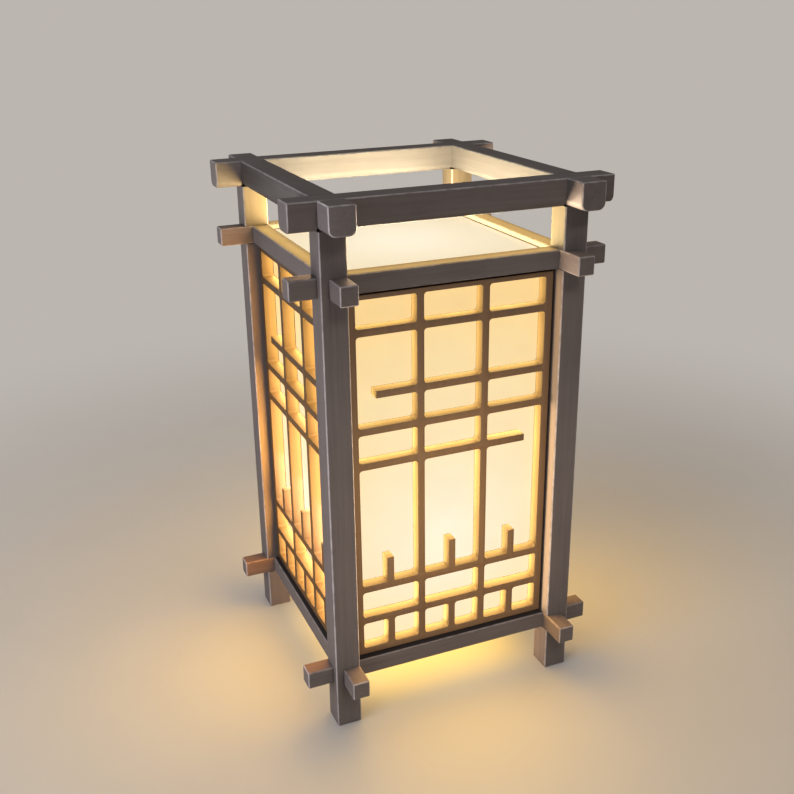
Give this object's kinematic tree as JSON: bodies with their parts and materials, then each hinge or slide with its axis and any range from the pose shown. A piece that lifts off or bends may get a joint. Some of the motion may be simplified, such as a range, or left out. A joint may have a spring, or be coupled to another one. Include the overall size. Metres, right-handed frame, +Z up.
{
  "type": "shoji table lamp",
  "caption": "Square table lamp with a dark timber frame, lattice panels backed by opal sheets, a loose opal top plate and a screw-in bulb on a board above an open bottom.",
  "frame": {"origin": "on the table, under the middle of the lamp", "axes": "+Z up along the lamp's upright axis; -Y towards the front panel, +X to the right as seen from the front"},
  "size_m": [0.252, 0.252, 0.4219],
  "materials": {
    "timber": "satin charcoal stain",
    "lattice": "satin charcoal stain",
    "opal_sheet": "translucent opal",
    "opal_plate": "translucent opal",
    "board": "matt charcoal stain",
    "steel": "zinc plated",
    "holder": "moulded",
    "insulator": "unglazed",
    "brass": "pressed sheet",
    "solder": "soldered",
    "black_glass": "fused",
    "cap_metal": "rolled thread",
    "globe": "opal coated"
  },
  "bodies": {
    "frame": {"board_screws": "steel", "holder_cap": "holder", "holder_contact": "brass", "holder_insert": "insulator", "holder_screw_shell": "brass", "holder_shell": "holder", "lamp_board": "board", "lattice_back": "lattice", "lattice_front": "lattice", "lattice_left": "lattice", "lattice_right": "lattice", "lower_rail_back": "timber", "lower_rail_front": "timber", "lower_rail_left": "timber", "lower_rail_right": "timber", "nipple_nut": "steel", "nipple_washer": "steel", "opal_sheet_back": "opal_sheet", "opal_sheet_front": "opal_sheet", "opal_sheet_left": "opal_sheet", "opal_sheet_right": "opal_sheet", "plate_ledge_back": "timber", "plate_ledge_front": "timber", "plate_ledge_left": "timber", "plate_ledge_right": "timber", "post_back_left": "timber", "post_back_right": "timber", "post_front_left": "timber", "post_front_right": "timber", "threaded_nipple": "steel", "top_beam_back": "timber", "top_beam_front": "timber", "top_beam_left": "timber", "top_beam_right": "timber", "upper_rail_back": "timber", "upper_rail_front": "timber", "upper_rail_left": "timber", "upper_rail_right": "timber"},
    "plate": {"top_opal_plate": "opal_plate"},
    "bulb": {"bulb_contact": "solder", "bulb_insulator": "black_glass", "bulb_screw_cap": "cap_metal", "bulb_globe": "globe"}
  },
  "joints": [
    {"name": "plate_lift", "type": "slide", "parent": "frame", "child": "plate", "axis": [0, 0, 1], "range_m": [0, 0.07]},
    {"name": "bulb_turn", "type": "hinge", "parent": "frame", "child": "bulb", "pos_m": [0, 0, 0.086], "axis": [0, 0, 1], "continuous": true}
  ]
}
